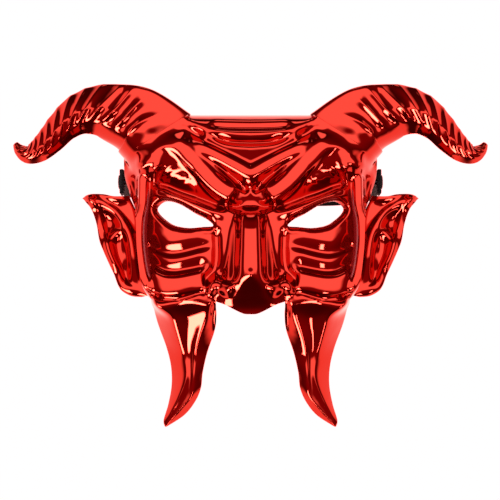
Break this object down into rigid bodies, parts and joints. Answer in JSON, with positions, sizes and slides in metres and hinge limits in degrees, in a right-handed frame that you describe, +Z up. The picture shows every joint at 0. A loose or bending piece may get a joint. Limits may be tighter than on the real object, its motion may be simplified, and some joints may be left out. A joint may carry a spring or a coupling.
{
  "type": "horned devil half mask",
  "caption": "Horned devil half mask: thin glossy shell with eye holes, ridged ram horns, pointed ears and long tusks, and an elastic head strap that swings on side rivets.",
  "frame": {"origin": "the wearer's nose root, on the mask's middle plane and level with the eye holes, where the face sits in the mask", "axes": "+Z up, -Y the way the mask faces, +X to the right as seen from the front"},
  "size_m": [0.2852, 0.1681, 0.2073],
  "materials": {
    "red_metallised": "vacuum-metallised, mirror-bright candy red",
    "pegs": "bare moulded plastic",
    "rivet_steel": "plated",
    "elastic": "ribbed woven elastic",
    "thread": "sewing thread"
  },
  "bodies": {
    "mask": {"face_shell": "red_metallised", "horn_left": "red_metallised", "horn_right": "red_metallised", "horn_pegs_left": "pegs", "horn_pegs_right": "pegs", "ear_left": "red_metallised", "ear_right": "red_metallised", "tusk_left": "red_metallised", "tusk_right": "red_metallised", "rivet_left": "rivet_steel", "rivet_right": "rivet_steel", "rivet_cap_left": "rivet_steel", "rivet_cap_right": "rivet_steel"},
    "strap": {"strap": "elastic", "strap_stitching_left": "thread", "strap_stitching_right": "thread"}
  },
  "joints": [
    {"name": "strap_swing", "type": "hinge", "parent": "mask", "child": "strap", "pos_m": [0, 0.024, 0.021], "axis": [1, 0, 0], "range_deg": [-45, 60]}
  ]
}
